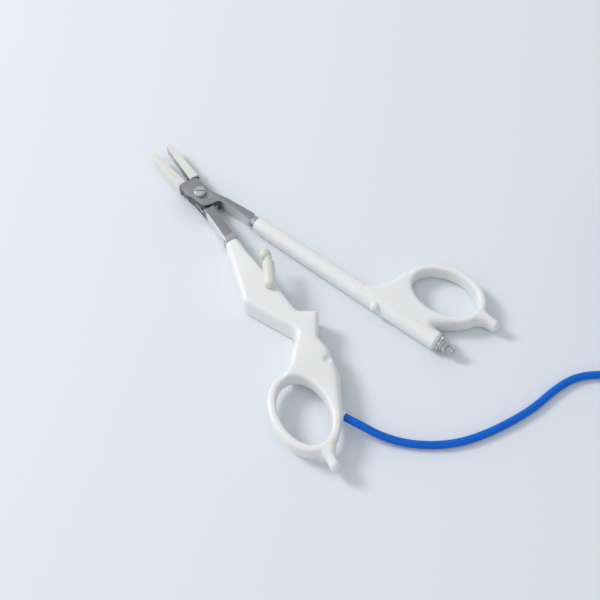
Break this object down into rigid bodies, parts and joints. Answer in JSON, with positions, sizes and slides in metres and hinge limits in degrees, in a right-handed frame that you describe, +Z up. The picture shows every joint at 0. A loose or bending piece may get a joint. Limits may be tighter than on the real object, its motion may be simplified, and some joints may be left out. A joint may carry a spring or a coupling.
{
  "type": "vessel sealing instrument",
  "caption": "Ring-handled vessel sealing instrument with crossed halves on a screw pivot, a hand switch, plastic-covered jaws and a corded plug",
  "frame": {"origin": "on the pivot's axis, at the underside of the pivot nut, in the plane that the instrument lies on", "axes": "+X along the bisector of the jaws towards their tips, +Y to the left seen from above, +Z up along the pivot"},
  "size_m": [0.2631, 0.22, 0.0168],
  "materials": {
    "handle_plastic": "white moulded plastic with a soft gloss",
    "jaw_plastic": "off-white heat-resistant plastic",
    "barrel_plastic": "ivory plastic",
    "button_plastic": "pale green-cream translucent plastic",
    "brushed_steel": "satin stainless steel",
    "seal_steel": "smooth stainless steel",
    "spring_steel": "drawn wire",
    "plated_brass": "bright nickel plate",
    "cord_blue": "blue cord jacket",
    "blue_rubber": "blue rubber",
    "lead_red": "insulated wire",
    "lead_white": "insulated wire",
    "plug_plastic": "moulded plug"
  },
  "bodies": {
    "fixed_half": {"pivot_screw": "brushed_steel", "pivot_nut": "brushed_steel", "pivot_bush": "jaw_plastic", "lap_washer": "jaw_plastic", "head_washer": "jaw_plastic", "fixed_shank": "brushed_steel", "fixed_jaw_cover": "jaw_plastic", "fixed_sealing_plate": "seal_steel", "fixed_ferrule": "brushed_steel", "tang_pin": "brushed_steel", "handle_shell_bottom": "handle_plastic", "handle_shell_top": "handle_plastic", "handle_screw_front": "brushed_steel", "handle_screw_rear": "brushed_steel", "cord_bush": "handle_plastic", "switch_barrel": "barrel_plastic", "switch_contact": "plated_brass", "switch_spring": "spring_steel", "jaw_lead": "lead_red", "switch_lead": "lead_white", "cord": "cord_blue", "cord_coil": "cord_blue", "cord_end": "cord_blue", "plug_relief": "blue_rubber", "plug_body": "plug_plastic", "plug_pin_left": "plated_brass", "plug_pin_middle": "plated_brass", "plug_pin_right": "plated_brass"},
    "moving_half": {"moving_shank": "brushed_steel", "moving_jaw_cover": "jaw_plastic", "moving_sealing_plate": "seal_steel", "moving_collar": "brushed_steel", "moving_tube": "handle_plastic", "moving_handle": "handle_plastic", "latch_ball": "handle_plastic", "feed_rod": "plated_brass", "port_flange": "plated_brass", "port_body": "plated_brass", "port_hub": "plated_brass"},
    "button": {"switch_button": "button_plastic"}
  },
  "joints": [
    {"name": "pivot", "type": "hinge", "parent": "fixed_half", "child": "moving_half", "pos_m": [0, 0, 0], "axis": [0, 0, 1], "range_deg": [-10.5, 12]},
    {"name": "button_press", "type": "slide", "parent": "fixed_half", "child": "button", "axis": [-0.8448, 0.5351, 0], "range_m": [0, 0.0008], "stiffness_N_per_m": 600, "deforming": ["switch_spring"]}
  ]
}
